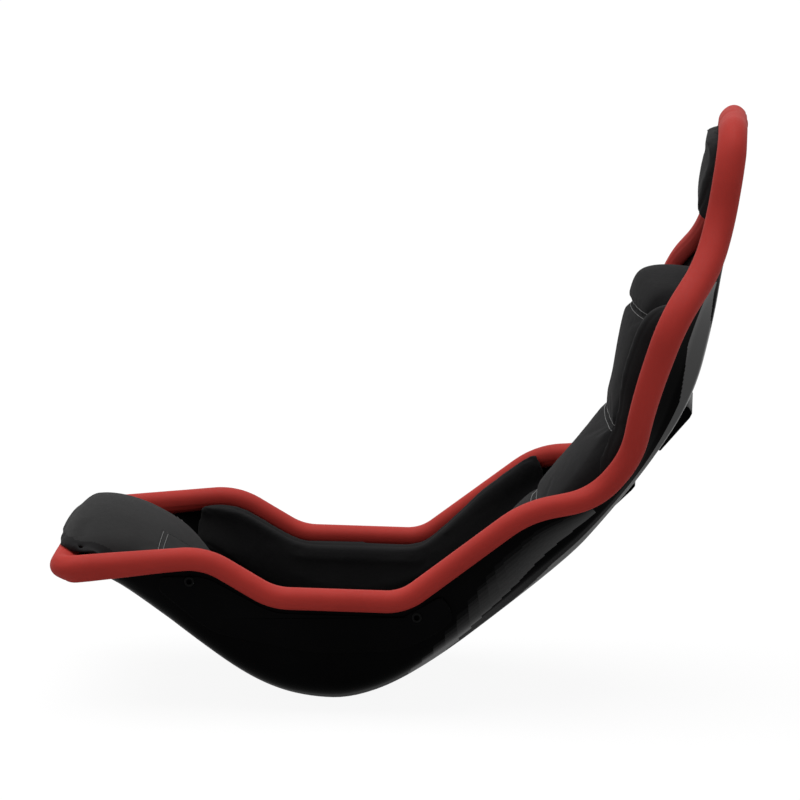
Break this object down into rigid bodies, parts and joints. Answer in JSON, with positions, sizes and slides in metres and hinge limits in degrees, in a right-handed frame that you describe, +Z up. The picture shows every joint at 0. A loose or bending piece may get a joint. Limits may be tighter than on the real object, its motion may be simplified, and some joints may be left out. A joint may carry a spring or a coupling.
{
  "type": "racing seat",
  "caption": "reclined one-piece bucket racing seat: moulded shell with a padded rim all round, loose cushions, side and rear bolt points",
  "frame": {"origin": "midway along the seat on its mirror plane, level with the lowest point of the shell", "axes": "+X from the knees to the head, +Y to the occupant's right, +Z up"},
  "size_m": [0.9628, 0.5048, 0.8295],
  "materials": {
    "shell": "satin black moulded composite",
    "rim": "matt red soft trim",
    "fabric": "black woven cushion cover",
    "thigh_fabric": "charcoal suede-like cover",
    "steel": "zinc plated",
    "strip": "black hook-and-loop tape"
  },
  "bodies": {
    "root": {"seat_shell": "shell", "rim_trim": "rim", "thigh_cushion": "thigh_fabric", "seat_cushion": "fabric", "side_pad_left": "fabric", "side_pad_right": "fabric", "back_cushion": "fabric", "torso_bolster_left": "fabric", "torso_bolster_right": "fabric", "headrest_pad": "fabric", "side_plates_left": "steel", "side_plates_right": "steel", "side_inserts_left": "steel", "side_inserts_right": "steel", "back_plate_upper": "steel", "back_plate_middle": "steel", "back_plate_lower": "steel", "back_inserts": "steel", "thigh_hook_strips": "strip", "seat_hook_strips": "strip", "side_hook_strips": "strip", "back_hook_strips": "strip", "bolster_hook_strips": "strip", "headrest_hook_strips": "strip"}
  },
  "joints": []
}
